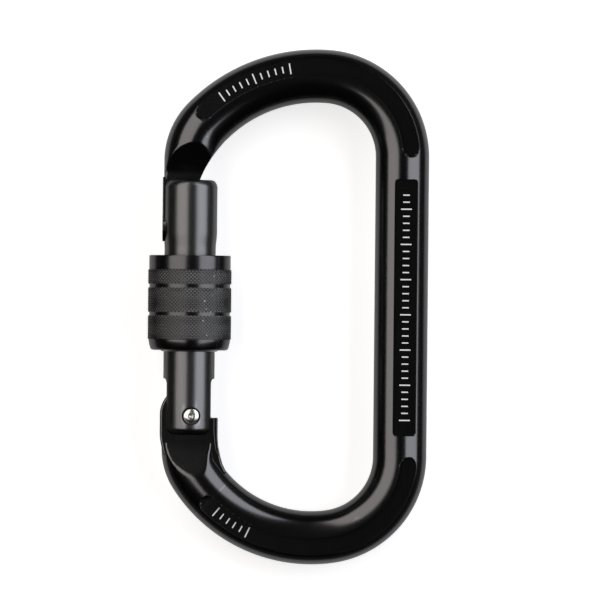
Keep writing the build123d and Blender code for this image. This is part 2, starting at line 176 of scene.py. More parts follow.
# %% World
world = bpy.data.worlds.new("studio_room")
scene.world = world
world.use_nodes = True
world_tree = world.node_tree
world_tree.nodes.clear()
world_path = world_tree.nodes.new("ShaderNodeLightPath")
dark = world_tree.nodes.new("ShaderNodeBackground")
white = world_tree.nodes.new("ShaderNodeBackground")
dark.inputs["Color"].default_value = (0.9, 0.95, 1.0, 1)
dark.inputs["Strength"].default_value = 0.012
white.inputs["Color"].default_value = (1, 1, 1, 1)
mix = world_tree.nodes.new("ShaderNodeMixShader")
out = world_tree.nodes.new("ShaderNodeOutputWorld")
world_tree.links.new(world_path.outputs["Is Camera Ray"], mix.inputs["Fac"])
world_tree.links.new(dark.outputs["Background"], mix.inputs[1])
world_tree.links.new(white.outputs["Background"], mix.inputs[2])
world_tree.links.new(mix.outputs["Shader"], out.inputs["Surface"])

# %% [markdown]
# ## Finishes
# Anodising is a hard, slightly porous skin. Under a lamp it shows very fine grain,
# faint lengthwise polishing lines where the bar was drawn, and a little wear where
# edges rub. These three effects are node groups that put out a plain mask each, so
# every material mixes them by its own amounts.

# %% Effect groups
def effect_group(name, sockets):
    """An empty node group with an in and out node; sockets are (name, kind, way, value)."""
    group = bpy.data.node_groups.new(name, "ShaderNodeTree")
    for title, kind, way, value in sockets:
        socket = group.interface.new_socket(title, in_out=way, socket_type=kind)
        if value is not None:
            socket.default_value = value
    return group, group.nodes.new("NodeGroupInput"), group.nodes.new("NodeGroupOutput")


def scaled_object(group, scale):
    """Object coordinates times a vector, as the output socket of a Mapping node."""
    place = group.nodes.new("ShaderNodeTexCoord")
    mapping = group.nodes.new("ShaderNodeMapping")
    mapping.inputs["Scale"].default_value = scale
    group.links.new(place.outputs["Object"], mapping.inputs["Vector"])
    return mapping.outputs["Vector"]


def fine_grain():
    """Mask of the skin's pores: noise about 0.15 mm across, with a slow cloud over it."""
    group, source, sink = effect_group("fine_grain", [
        ("Scale", "NodeSocketFloat", "INPUT", 6500.0),
        ("Mask", "NodeSocketFloat", "OUTPUT", None)])
    vector = scaled_object(group, (1, 1, 1))
    pores, cloud = group.nodes.new("ShaderNodeTexNoise"), group.nodes.new("ShaderNodeTexNoise")
    pores.inputs["Detail"].default_value = 2.0
    cloud.inputs["Scale"].default_value = 240.0
    group.links.new(source.outputs["Scale"], pores.inputs["Scale"])
    join = group.nodes.new("ShaderNodeMath")
    join.operation = "MULTIPLY_ADD"
    join.inputs[1].default_value = 0.7
    part = group.nodes.new("ShaderNodeMath")
    part.operation = "MULTIPLY"
    part.inputs[1].default_value = 0.3
    group.links.new(vector, pores.inputs["Vector"])
    group.links.new(vector, cloud.inputs["Vector"])
    group.links.new(cloud.outputs["Fac"], part.inputs[0])
    group.links.new(pores.outputs["Fac"], join.inputs[0])
    group.links.new(part.outputs[0], join.inputs[2])
    group.links.new(join.outputs[0], sink.inputs["Mask"])
    return group


def drawn_lines():
    """Mask of lines along Y: noise stretched thirty times longer than it is wide."""
    group, source, sink = effect_group("drawn_lines", [
        ("Mask", "NodeSocketFloat", "OUTPUT", None)])
    noise = group.nodes.new("ShaderNodeTexNoise")
    noise.inputs["Scale"].default_value = 1.0
    noise.inputs["Detail"].default_value = 2.0
    group.links.new(scaled_object(group, (3200, 100, 3200)), noise.inputs["Vector"])
    group.links.new(noise.outputs["Fac"], sink.inputs["Mask"])
    return group


def rubbed_edges():
    """Mask of worn edges: high curvature from Pointiness, broken up by noise."""
    group, source, sink = effect_group("rubbed_edges", [
        ("Threshold", "NodeSocketFloat", "INPUT", 0.56),
        ("Mask", "NodeSocketFloat", "OUTPUT", None)])
    shape = group.nodes.new("ShaderNodeNewGeometry")
    noise = group.nodes.new("ShaderNodeTexNoise")
    noise.inputs["Scale"].default_value = 900.0
    group.links.new(scaled_object(group, (1, 1, 1)), noise.inputs["Vector"])
    over = group.nodes.new("ShaderNodeMath")
    over.operation = "SUBTRACT"
    group.links.new(shape.outputs["Pointiness"], over.inputs[0])
    group.links.new(source.outputs["Threshold"], over.inputs[1])
    gain = group.nodes.new("ShaderNodeMath")
    gain.operation, gain.use_clamp = "MULTIPLY", True
    gain.inputs[1].default_value = 12.0
    group.links.new(over.outputs[0], gain.inputs[0])
    broken = group.nodes.new("ShaderNodeMath")
    broken.operation = "MULTIPLY"
    group.links.new(gain.outputs[0], broken.inputs[0])
    group.links.new(noise.outputs["Fac"], broken.inputs[1])
    group.links.new(broken.outputs[0], sink.inputs["Mask"])
    return group


grain_group, lines_group, wear_group = fine_grain(), drawn_lines(), rubbed_edges()
print("effect groups:", [g.name for g in (grain_group, lines_group, wear_group)])

# %% [markdown]
# Black anodised aluminium is metal seen through a black skin, so it is a metal with
# a dark base colour. The tint goes from dark to worn with the edge mask, the
# roughness follows the grain and the drawn lines, and the bump follows the grain. The bar
# is polished before it is dyed and the gate is left satin, so they share this recipe with
# different numbers.

# %% Metal recipe
def metal(name, dark, worn, rough, grain=0.0, lines=0.0, bump=0.0, wear=0.56):
    """Metallic shader: colour by wear, roughness rough plus grain and lines, small bump."""
    material = bpy.data.materials.new(name)
    material.use_nodes = True
    nodes, links = material.node_tree.nodes, material.node_tree.links
    shader = nodes["Principled BSDF"]
    shader.inputs["Metallic"].default_value = 1.0
    masks = {}
    for title, group in (("grain", grain_group), ("lines", lines_group), ("wear", wear_group)):
        masks[title] = nodes.new("ShaderNodeGroup")
        masks[title].node_tree = group
    masks["wear"].inputs["Threshold"].default_value = wear
    tint = nodes.new("ShaderNodeMix")
    tint.data_type = "RGBA"
    tint.inputs["A"].default_value = (*dark, 1)
    tint.inputs["B"].default_value = (*worn, 1)
    links.new(masks["wear"].outputs["Mask"], tint.inputs["Factor"])
    links.new(tint.outputs["Result"], shader.inputs["Base Color"])
    gloss = nodes.new("ShaderNodeMath")
    gloss.operation = "MULTIPLY_ADD"
    gloss.inputs[1].default_value = grain
    gloss.inputs[2].default_value = rough - grain / 2 - lines / 2
    links.new(masks["grain"].outputs["Mask"], gloss.inputs[0])
    streak = nodes.new("ShaderNodeMath")
    streak.operation = "MULTIPLY_ADD"
    streak.inputs[1].default_value = lines
    links.new(masks["lines"].outputs["Mask"], streak.inputs[0])
    links.new(gloss.outputs[0], streak.inputs[2])
    links.new(streak.outputs[0], shader.inputs["Roughness"])
    relief = nodes.new("ShaderNodeBump")
    relief.inputs["Strength"].default_value = bump
    relief.inputs["Distance"].default_value = 0.00002
    links.new(masks["grain"].outputs["Mask"], relief.inputs["Height"])
    links.new(relief.outputs["Normal"], shader.inputs["Normal"])
    return material


bar_skin = metal("anodised_bar_black", (0.085, 0.085, 0.088), (0.16, 0.16, 0.165),
                 0.19, grain=0.06, lines=0.03, bump=0.12)
gate_skin = metal("anodised_gate_satin", (0.116, 0.116, 0.119), (0.20, 0.20, 0.21),
                  0.29, grain=0.06, lines=0.10, bump=0.2)
sleeve_skin = metal("anodised_sleeve", (0.072, 0.072, 0.074), (0.26, 0.26, 0.27),
                    0.22, grain=0.08, lines=0.04, bump=0.15, wear=0.53)
bright_steel = metal("bright_steel", (0.62, 0.61, 0.59), (0.8, 0.8, 0.8),
                     0.25, grain=0.12, bump=0.25)
spring_steel = metal("spring_steel", (0.42, 0.42, 0.42), (0.6, 0.6, 0.6),
                     0.32, grain=0.10, bump=0.15)
print("metals:", [m.name for m in (bar_skin, gate_skin, sleeve_skin, bright_steel, spring_steel)])


# %% [markdown]
# ## The bent bar
# The bar is one rod bent twice. Its middle line is a chain of arcs and straights:
# from the hinge end down and round the lower bow, up the spine, round the upper bow
# and down to the nose. The arcs of each bow are a shoulder, a wide crown and a
# tighter end, and the crown's radius is the one that lands the last arc on the
# gate's axis.

# %% Middle line
head_bow = (17.2, 86.0, 12.0, 44.0)
foot_bow = (17.3, 82.0, 10.0, 33.0)


def crown_radius(shoulder_r, shoulder_turn, end_r, end_turn):
    """Radius of the middle arc, from the widths that the other two arcs take up."""
    first, last = math.cos(math.radians(shoulder_turn)), -math.cos(math.radians(end_turn))
    return (shoulder_r * (1 - first) + end_r * (1 + last) - (spine_x - gate_x)) / (last - first)


def bow_start(shoulder_r, shoulder_turn, end_r, end_turn):
    """Height over the middle at which the spine turns into a bow."""
    crown = crown_radius(shoulder_r, shoulder_turn, end_r, end_turn)
    rise = (shoulder_r - crown) * math.sin(math.radians(shoulder_turn))
    return bar_high[1] - bar_half_width - crown - rise


def end_height(shoulder_r, shoulder_turn, end_r, end_turn):
    """Height over the middle at which the last arc meets the gate's axis."""
    crown = crown_radius(shoulder_r, shoulder_turn, end_r, end_turn)
    return (bar_high[1] - bar_half_width - crown
            + (crown - end_r) * math.sin(math.radians(end_turn)))


def bow_arcs(bow):
    """The bow's three (length, radius) pairs, shoulder first."""
    crown_turn = 180.0 - bow[1] - bow[3]
    return [(math.radians(turn) * radius, radius)
            for turn, radius in ((bow[1], bow[0]), (crown_turn, crown_radius(*bow)), (bow[3], bow[2]))]


overrun = 0.7
nose_end = gate_top + 0.1
tang_run = -end_height(*foot_bow) - (tang_y + overrun)
nose_run = end_height(*head_bow) - nose_end
spine_run = bow_start(*head_bow) + bow_start(*foot_bow)
chain = ([(abs(tang_run), 0.0)] + bow_arcs(foot_bow)[::-1] + [(spine_run, 0.0)]
         + bow_arcs(head_bow) + [(abs(nose_run), 0.0)])
lengths = np.array([length for length, _ in chain])
bends = np.array([1 / radius if radius else 0.0 for _, radius in chain])
starts = np.concatenate([[0.0], np.cumsum(lengths)])
print("bar runs and arcs in mm:", np.round(lengths, 2), "total", round(starts[-1], 2))


def chain_starts():
    """Place and heading at the start of each run, added up one run after another."""
    place, heading = np.array([gate_x, tang_y + overrun]), -math.pi / 2
    places, headings = [], []
    for length, bend in zip(lengths, bends):
        places.append(place)
        headings.append(heading)
        turned = heading + bend * length
        if bend:
            step = np.array([math.sin(turned) - math.sin(heading),
                             math.cos(heading) - math.cos(turned)]) / bend
        else:
            step = length * np.array([math.cos(heading), math.sin(heading)])
        place, heading = place + step, turned
    return np.array(places), np.array(headings)


run_places, run_headings = chain_starts()


def along_bar(s):
    """Places and headings at distances s: each lies on its own run's arc or straight."""
    run = np.clip(np.searchsorted(starts, s, side="right") - 1, 0, len(lengths) - 1)
    gone, bend, first = s - starts[run], bends[run], run_headings[run]
    heading = first + bend * gone
    safe = np.where(bend == 0, 1.0, bend)
    curve = np.stack([np.sin(heading) - np.sin(first), np.cos(first) - np.cos(heading)], -1)
    straight = np.stack([np.cos(first), np.sin(first)], -1) * gone[:, None]
    step = np.where((bend == 0)[:, None], straight, curve / safe[:, None])
    return run_places[run] + step, heading


# %% [markdown]
# The cuts on the bar are worked out as limits on its thickness. The rod's own skin
# is an ellipse, the marking panel is a flat floor with steep walls, each channel is
# a flat-bottomed slot with round ends, and the milled ends are flats that ramp back
# up. The real surface is the lowest of them, joined with a little rounding where they
# cross. The channels lie slightly deeper and further in than the CAD's, so that both
# sides of their round ends stand clear of the rod's falling edge.

# %% Cuts as limits
def soft_least(first, second, round_off=0.05):
    """The lower of two heights, rounded: a/2 + b/2 - sqrt((a - b)^2 + r^2)/2."""
    return (first + second - np.sqrt((first - second) ** 2 + round_off**2)) / 2


panel_half_length, panel_half_width, panel_corner = 27.3, 2.45, 0.8
panel_floor, panel_offset = 4.35, 0.9
groove_floor, groove_half_width, groove_offset = 3.98, 1.75, 1.9
groove_start, groove_end = 6.0, 46.0
wall_slope = 14.0
ramp_length, ramp_corner = 6.2, 4.0
nose_half, tang_half = 1.75, 2.7


def panel_limit(u, y):
    """Panel floor plus a steep wall times the distance outside a rounded rectangle."""
    across = np.abs(u - panel_offset) - (panel_half_width - panel_corner)
    along = np.abs(y) - (panel_half_length - panel_corner)
    outside = (np.hypot(np.maximum(across, 0), np.maximum(along, 0))
               + np.minimum(np.maximum(across, along), 0) - panel_corner)
    return panel_floor + wall_slope * np.maximum(outside, 0)


def groove_limit(u, s, start, end):
    """Flat floor plus a steep wall times the distance outside a round-ended strip."""
    past = np.maximum(np.maximum(start - s, s - end), 0)
    outside = np.hypot(u - groove_offset, past) - groove_half_width
    return groove_floor + wall_slope * np.maximum(outside, 0)


def ramp_limit(past, half):
    """Flat at half thickness, then a straight ramp to full, the corner rounded."""
    slope = (bar_half_thick - half) / ramp_length
    reach = ramp_corner * math.tan(math.atan(slope) / 2)
    return half + slope * (past + np.sqrt(past**2 + 1.2 * reach**2)) / 2


# %% [markdown]
# The grid is fine only where something happens: round the panel's ends, the
# channels' ends and the ramps, and across the bar at the cuts' edges.

# %% Rows and columns of the bar
def turn_length(s_from, s_to, turn):
    """Distance along the middle line after which the bar has turned by turn degrees."""
    samples = np.linspace(s_from, s_to, 4001)
    _, heading = along_bar(samples)
    turned = np.degrees(np.abs(heading - heading[0]))
    return float(np.interp(turn, turned, samples))


spine_start, spine_end = starts[4], starts[5]
panel_middle = (spine_start + spine_end) / 2 + (bow_start(*foot_bow) - bow_start(*head_bow)) / 2
head_groove = (turn_length(spine_end, starts[-1], groove_start),
               turn_length(spine_end, starts[-1], 180.0 - groove_end))
foot_groove = (turn_length(0.0, spine_start, groove_end),
               turn_length(0.0, spine_start, 180.0 - groove_start))
print("channels run from and to, in mm along the bar:", np.round(head_groove + foot_groove, 2))


def stations():
    """Row positions: an even spacing with extra rows at every end of a cut."""
    even = np.concatenate([np.linspace(starts[i], starts[i + 1], max(2, int(lengths[i] / 0.9)),
                                       endpoint=False) for i in range(len(lengths))])
    extra = [even, [starts[-1]]]
    near_edge = np.array([-.3, -.15, -.08, -.04, 0, .04, .1, .2, .3, .45, .6, .8, 1.0])
    for sign in (-1, 1):
        extra.append(panel_middle + sign * (panel_half_length - near_edge))
    for groove in (head_groove, foot_groove):
        for end, sign in zip(groove, (-1, 1)):
            extra.append(end + sign * np.linspace(-0.4, 2.2, 34))
    extra.append(np.linspace(0, 10.5, 40))
    extra.append(starts[-1] - np.linspace(0, 14.5, 60))
    rows = np.unique(np.round(np.concatenate(extra), 3))
    keep = np.concatenate([[True], np.diff(rows) > 0.035])
    keep[-1] = True
    return rows[keep]


def section_turns():
    """Angles round the section: even, with more where a cut's edge runs along the bar."""
    even = np.linspace(0, 2 * math.pi, 84, endpoint=False)
    edges = [panel_offset - panel_half_width, panel_offset + panel_half_width,
             groove_offset - groove_half_width, groove_offset + groove_half_width]
    close = np.array([-.3, -.18, -.1, -.05, 0, .05, .1, .18, .3])
    u = np.clip((np.array(edges)[:, None] + close[None, :]).ravel() / bar_half_width, -1, 1)
    front = np.arccos(u)
    turns = np.unique(np.round(np.concatenate([even, front, 2 * math.pi - front]), 4))
    keep = np.concatenate([[True], np.diff(turns) > 0.006])
    return turns[keep]


rows, turns = stations(), section_turns()
print("bar grid:", len(rows), "rows by", len(turns), "columns")

# %% [markdown]
# At the nose the inner side is cut away along a curve, so that the nose narrows to
# the tongue. Along each row the distance to that curve is the most that the section
# may reach inwards.

# %% Bar surface
trim_points = np.array([(8.3, 9.2), (4.5, 4.9), (1.95, 0.0)])


def circle_through(points):
    """Centre and radius of the circle through three points, from two chords' middles."""
    a, b, c = points
    matrix = 2 * np.array([b - a, c - a])
    centre = np.linalg.solve(matrix, [b @ b - a @ a, c @ c - a @ a])
    return centre, float(np.linalg.norm(a - centre))


def inner_reach(places, outward):
    """How far inwards the trimmed nose reaches: where a ray meets the trim circle."""
    centre, radius = circle_through(trim_points)
    to_centre = places - (centre + [gate_x, gate_top])
    along = -np.sum(to_centre * -outward, -1)
    inside = along**2 - (np.sum(to_centre**2, -1) - radius**2)
    hit = along - np.sqrt(np.maximum(inside, 0))
    near = (inside > 0) & (hit > 0) & (places[:, 1] < gate_top + 12.5) & (places[:, 0] < 0)
    near &= places[:, 1] > 0
    return np.where(near, np.minimum(hit, 9.0), 9.0)


def bar_surface():
    """Ellipse carried along the middle line, with its height and inner side limited."""
    places, heading = along_bar(rows)
    outward = np.stack([np.sin(heading), -np.cos(heading)], -1)
    u = bar_half_width * np.cos(turns)[None, :] * np.ones((len(rows), 1))
    reach = inner_reach(places, outward)[:, None]
    u = -soft_least(-u, reach, 0.12)
    skin = bar_half_thick * np.abs(np.sin(turns))[None, :] * np.ones((len(rows), 1))
    y = places[:, 1:2] + u * outward[:, 1:2]
    on_spine = ((rows > spine_start) & (rows < spine_end))[:, None]
    panel = np.where(on_spine, panel_limit(u, y), 9.0)
    high = soft_least(skin, panel, 0.10)
    for start, end in (head_groove, foot_groove):
        high = soft_least(high, groove_limit(u, rows[:, None], start, end), 0.10)
    beside_gate = places[:, 0:1] < gate_x + 13.0
    nose_past = np.where((y > 0) & beside_gate, np.minimum(y - nose_y, 12.0), 12.0)
    tang_past = np.where((y < 0) & beside_gate, np.minimum(tang_y - y, 12.0), 12.0)
    high = soft_least(high, ramp_limit(nose_past, nose_half), 0.10)
    high = soft_least(high, ramp_limit(tang_past, tang_half), 0.10)
    high = np.maximum(high, 0.0)
    z = np.sign(np.sin(turns))[None, :] * high
    z = np.where(np.abs(np.sin(turns))[None, :] < 1e-9, 0.0, z)
    xy = places[:, None, :] + u[..., None] * outward[:, None, :]
    return np.concatenate([xy, z[..., None]], -1)


bar_points = bar_surface()
ring_count, ring_size = bar_points.shape[:2]
bar_quads = grid_faces(ring_count, ring_size)
first_ring = np.arange(ring_size)
last_ring = first_ring + (ring_count - 1) * ring_size
print("bar faces:", len(bar_quads), "box:",
      np.round(bar_points.min((0, 1)), 2), np.round(bar_points.max((0, 1)), 2))

# %% [markdown]
# The tongue is what makes this nose a keylock: a round bulb on a thin neck that
# slides sideways into a keyhole in the gate, with no hook for a rope to catch on.
# Its profile is carried round the rivet, so the gate can swing past it.

# %% Tongue and tang
def keyhole_loop(half, bulb_r, reach, top, steps=28):
    """Closed (distance from the rivet, z) loop: a round bulb with a straight-sided neck."""
    corner = math.asin(half / bulb_r)
    turn = np.linspace(corner, 2 * math.pi - corner, steps)
    bulb = np.stack([reach + bulb_r * np.cos(turn), bulb_r * np.sin(turn)], -1)
    neck = np.array([[top, -half], [top, half]])
    return np.concatenate([bulb, neck])


def round_rivet(loop, x):
    """Loop points carried to each x at their own distance from the rivet's axis."""
    r, z = loop[:, 0][None, :], loop[:, 1][None, :]
    y = rivet_y + np.sqrt(r**2 - (x[:, None] - rivet_x) ** 2)
    return np.stack([x[:, None] + 0 * r, y, z + 0 * y], -1)


bulb_reach = gate_top - 10.0 - rivet_y
neck_half, bulb_r = 1.745, 2.65
tongue_rows = 12
tongue_loop = keyhole_loop(neck_half, bulb_r, bulb_reach, gate_top + 1.0 - rivet_y)
tongue_points = round_rivet(tongue_loop, gate_x + np.linspace(-5.95, 1.95, tongue_rows))
loop_size = len(tongue_loop)
tongue = (tongue_points, grid_faces(tongue_rows, loop_size),
          [np.arange(loop_size)[::-1], np.arange(loop_size) + (tongue_rows - 1) * loop_size])


def plate(outline, half, centre=(0.0, 0.0)):
    """An outline as two rings at plus and minus half, joined and capped."""
    outline = np.asarray(outline, float) + centre
    rings = np.stack([np.column_stack([outline, np.full(len(outline), z)]) for z in (-half, half)])
    size = len(outline)
    return rings, grid_faces(2, size), [np.arange(size)[::-1], np.arange(size) + size]


knuckle_r = 6.75
lip_turns = np.radians(180 - np.linspace(8, 57, 9))
lip = knuckle_r * np.column_stack([np.cos(lip_turns), np.sin(lip_turns)])
tang_outline = np.concatenate([
    [(0.0, -12.2), (7.7, -12.2), (6.75, -10.3), (6.2, -8.4), (5.82, -6.6), (5.64, -4.6),
     (5.64, -0.4), (4.0, -0.4), (4.0, 3.1), (-1.6, 3.1)], lip[::-1],
    [(-6.7, 0.0), (-6.7, -4.0), (-6.55, -5.4), (-6.2, -7.0), (-5.9, -8.4)]])
tang = plate(tang_outline, tang_half - 0.005, (rivet_x, rivet_y))

# A low lip stands along the inner side of the tang, outside the reach of the fork.
inner_rim = np.array([
    (5.64, -0.4), (4.75, -0.4), (4.75, -3.0), (4.95, -5.4), (5.2, -7.2), (5.9, -8.6),
    (6.2, -8.4), (5.82, -6.6), (5.64, -4.6)])[::-1]
rim_half = 3.1

frame_bar = add_piece("frame_bar", [(bar_points, bar_quads, [first_ring[::-1], last_ring])],
                      "frame", bar_skin, ["frame_body"], edge=50)
nose_tongue = add_piece("nose_tongue", [tongue], "frame", bar_skin, edge=30)
soften(nose_tongue, 0.18)
hinge_tang = add_piece("hinge_tang", [tang], "frame", bar_skin, edge=30)
soften(hinge_tang, 0.45, 4)
tang_rims = add_piece("tang_rims", [plate(inner_rim, rim_half, (rivet_x, rivet_y))],
                      "frame", bar_skin, edge=30)
soften(tang_rims, 0.2, 3)
print("bar pieces:", frame_bar.name, nose_tongue.name, hinge_tang.name)


# %% [markdown]
# ## Plain marks
# A climbing bar carries white engraving in its panel and channels. Here those places
# hold plain measuring ticks, with a longer tick at every fifth, and no words. Each
# tick is a thin closed block that stands a hair over the floor it lies on.

# %% Measuring ticks
tick_pitch, tick_width = 1.5, 0.26
short_tick, long_tick = 1.4, 2.3


def tick_blocks(centres, along, length, low, high):
    """Thin boxes: each centre plus or minus half a width along and half a length across."""
    across = np.stack([along[:, 1], -along[:, 0]], -1)
    corners = [(-1, -1), (1, -1), (1, 1), (-1, 1)]
    ring = np.stack([centres + a * along * tick_width / 2 + c * across * length[:, None] / 2
                     for a, c in corners], 1)
    blocks = []
    for z in (low, high):
        blocks.append(np.concatenate([ring, np.full((*ring.shape[:2], 1), z)], -1))
    points = np.concatenate(blocks, 1).reshape(-1, 3)
    base = np.array([[0, 1, 2, 3], [7, 6, 5, 4], [0, 4, 5, 1],
                     [1, 5, 6, 2], [2, 6, 7, 3], [3, 7, 4, 0]])
    faces = (base[None] + 8 * np.arange(len(centres))[:, None, None]).reshape(-1, 4)
    return points, faces, []


def ticks_on_bar(s, offset, z):
    """Ticks at distances s along the bar, offset outwards, a long one every fifth."""
    places, heading = along_bar(s)
    along = np.stack([np.cos(heading), np.sin(heading)], -1)
    outward = np.stack([np.sin(heading), -np.cos(heading)], -1)
    length = np.where(np.arange(len(s)) % 5 == 0, long_tick, short_tick)
    return tick_blocks(places + offset * outward, along, length, z - 0.05, z + 0.012)


white_ink = bpy.data.materials.new("white_ink")
white_ink.use_nodes = True
ink_tree = white_ink.node_tree
ink_shader = ink_tree.nodes["Principled BSDF"]
ink_shader.inputs["Roughness"].default_value = 0.6
ink_grain, ink_tint = ink_tree.nodes.new("ShaderNodeGroup"), ink_tree.nodes.new("ShaderNodeMix")
ink_grain.node_tree = grain_group
ink_tint.data_type = "RGBA"
ink_tint.inputs["A"].default_value = (0.60, 0.60, 0.60, 1)
ink_tint.inputs["B"].default_value = (0.95, 0.95, 0.95, 1)
ink_tree.links.new(ink_grain.outputs["Mask"], ink_tint.inputs["Factor"])
ink_tree.links.new(ink_tint.outputs["Result"], ink_shader.inputs["Base Color"])
tick_sets = [
    ticks_on_bar(panel_middle + np.arange(-24.0, 24.5, tick_pitch), panel_offset, panel_floor),
    ticks_on_bar(head_groove[1] - np.arange(4.5, 20.0, tick_pitch), groove_offset, groove_floor),
    ticks_on_bar(foot_groove[0] + np.arange(2.0, 10.0, tick_pitch), groove_offset, groove_floor),
]
add_piece("bar_ticks", tick_sets, "frame", white_ink)
print("ticks:", sum(len(t[1]) // 6 for t in tick_sets))

# %% [markdown]
# ## The gate
# The gate is a turned barrel, so it starts as a profile spun round the gate's axis.
# The keyhole, the fork over the tang, the rivet's seats and the plunger's bore are
# cut out of it, as a mill does after the lathe, with Boolean modifiers.

# %% Turning on the lathe
def turned(profile, columns, x=None):
    """(radius, height) rows spun round the gate's axis; columns run round it."""
    profile = np.asarray(profile, float)
    turn = np.linspace(0, 2 * math.pi, columns, endpoint=False)
    r, y = profile[:, 0][:, None], profile[:, 1][:, None]
    middle = gate_x if x is None else x
    points = np.stack([middle + r * np.cos(turn), y + 0 * turn, -r * np.sin(turn)], -1)
    rows_made, ring = len(profile), np.arange(columns)
    return points, grid_faces(rows_made, columns), [ring[::-1], ring + (rows_made - 1) * columns]


def rounded(points, radius):
    """A (radius, height) line with its inner corners turned into short curves."""
    points = np.asarray(points, float)
    line = [points[0]]
    for before, corner, after in zip(points[:-2], points[1:-1], points[2:]):
        to_before, to_after = before - corner, after - corner
        near = np.linalg.norm(to_before), np.linalg.norm(to_after)
        cut = min(radius, 0.45 * near[0], 0.45 * near[1])
        start, end = corner + to_before / near[0] * cut, corner + to_after / near[1] * cut
        t = np.linspace(0, 1, 5)[:, None]
        line += list((1 - t) ** 2 * start + 2 * t * (1 - t) * corner + t**2 * end)
    line.append(points[-1])
    return np.array(line)


stem_y = rivet_y - 4.0
barrel_y = gate_top - 11.7
gate_profile = rounded([
    (0.6, stem_y), (4.52, stem_y), (5.47, stem_y + 0.95), (5.47, rivet_y + 4.0), (5.47, sleeve_y - 3.0),
    (5.47, sleeve_y + 0.3), (5.47, barrel_y - 2.5), (5.72, barrel_y), (5.72, gate_top - 1.15),
    (5.15, gate_top - 0.25), (4.57, gate_top), (0.6, gate_top)], 0.5)
gate_body = add_piece("gate_body", [turned(gate_profile, 128)], "gate",
                      gate_skin, ["gate_barrel"], edge=32)


def cutter(name, mesh):
    """A hidden solid for one Boolean cut."""
    piece = add_piece(name, [mesh], None, gate_skin)
    piece.hide_render = True
    return piece


slot_half, slot_r, slot_rows = neck_half + 0.155, bulb_r + 0.15, 16
slot_loop = keyhole_loop(slot_half, slot_r, bulb_reach, gate_top + 3.0 - rivet_y, 40)
slot_points = round_rivet(slot_loop, gate_x + np.linspace(-7.2, 2.1, slot_rows))
slot_size = len(slot_loop)
fork_half, fork_top, fork_corner = tang_half + 0.1, rivet_y + knuckle_r + 1.2, 1.2
corner_turn = np.linspace(0, math.pi / 2, 9)
fork_arc = np.stack([fork_top - fork_corner * (1 - np.sin(corner_turn)),
                     fork_half - fork_corner * (1 - np.cos(corner_turn))], -1)
fork_side = np.concatenate([[(stem_y - 2, fork_half)], fork_arc])
fork_yz = np.concatenate([fork_side, fork_side[::-1] * [1, -1]])[::-1]
fork_rings = np.stack([np.column_stack([np.full(len(fork_yz), gate_x + x), fork_yz]) for x in (-9, 9)])
cutters = [
    cutter("cut_keyhole", (slot_points, grid_faces(slot_rows, slot_size),
                           [np.arange(slot_size)[::-1],
                            np.arange(slot_size) + (slot_rows - 1) * slot_size])),
    cutter("cut_fork", (fork_rings, grid_faces(2, len(fork_yz)),
                        [np.arange(len(fork_yz))[::-1],
                         np.arange(len(fork_yz)) + len(fork_yz)])),
    cutter("cut_bore", turned([(1.55, fork_top - 1.0), (1.55, fork_top + 14.0)], 40, rivet_x + 0.8)),
]


def upright(radius_rows, columns=48):
    """(radius, z) rows spun round the rivet's axis, which points along Z."""
    rows_in = np.asarray(radius_rows, float)
    turn = np.linspace(0, 2 * math.pi, columns, endpoint=False)
    r, z = rows_in[:, 0][:, None], rows_in[:, 1][:, None]
    points = np.stack([rivet_x + r * np.cos(turn), rivet_y + r * np.sin(turn), z + 0 * turn], -1)
    size, ring = len(rows_in), np.arange(columns)
    return points, grid_faces(size, columns), [ring[::-1], ring + (size - 1) * columns]


seat_r, seat_floor, seat_open = 2.0, 4.4, 6.5
for side, heights in (("back", (-seat_open, -seat_floor)), ("front", (seat_floor, seat_open))):
    cutters.append(cutter(f"cut_seat_{side}", upright([(seat_r, z) for z in heights])))


def cut_out(piece, tools):
    """Subtract each tool, keep the result as the mesh, and remove the tools."""
    for tool in tools:
        step = piece.modifiers.new(tool.name, "BOOLEAN")
        step.operation, step.solver, step.object = "DIFFERENCE", "EXACT", tool
    graph = bpy.context.evaluated_depsgraph_get()
    cut_mesh = bpy.data.meshes.new_from_object(piece.evaluated_get(graph))
    piece.modifiers.clear()
    piece.data = cut_mesh
    cut_mesh.shade_smooth()
    cut_mesh.set_sharp_from_angle(angle=math.radians(32))
    for tool in tools:
        bpy.data.objects.remove(tool)


cut_out(gate_body, cutters)
soften(gate_body, 0.14, 2, 40)
print("gate faces after cutting:", len(gate_body.data.polygons))

# %% [markdown]
# The sleeve runs on a two-start thread. Each ridge is a small trapezoid carried up a
# helix, and its ends taper away into the barrel.

# %% Gate thread
thread_lead = 3.0
thread_root, thread_crest = 5.39, 5.87


def thread_ridge(y_from, y_to, root, crest, start_turn):
    """Trapezoid section carried along a helix; the crest sinks to the root at both ends."""
    turns_made = (y_to - y_from) / thread_lead
    t = np.linspace(0, 1, int(turns_made * 56))[:, None]
    angle = start_turn + 2 * math.pi * turns_made * t
    fade = np.clip(np.minimum(t, 1 - t) * turns_made * 4, 0, 1)
    height = root + (crest - root) * fade
    r = np.concatenate([root + 0 * t, height, height, root + 0 * t], 1)
    shift = np.array([-0.4, -0.175, 0.175, 0.4])[None, :]
    y = y_from + (y_to - y_from) * t + shift
    points = np.stack([gate_x + r * np.cos(angle), y, -r * np.sin(angle)], -1)
    count = len(t)
    return points, grid_faces(count, 4), [np.arange(4)[::-1], np.arange(4) + (count - 1) * 4]


ridges = [thread_ridge(sleeve_y + 2.0, sleeve_high[1] - 0.6, thread_root, thread_crest, turn)
          for turn in (0.0, math.pi)]
add_piece("gate_thread", ridges, "gate", gate_skin, edge=30)
print("thread turns:", round((sleeve_high[1] - 2.6 - sleeve_y) / thread_lead, 2))

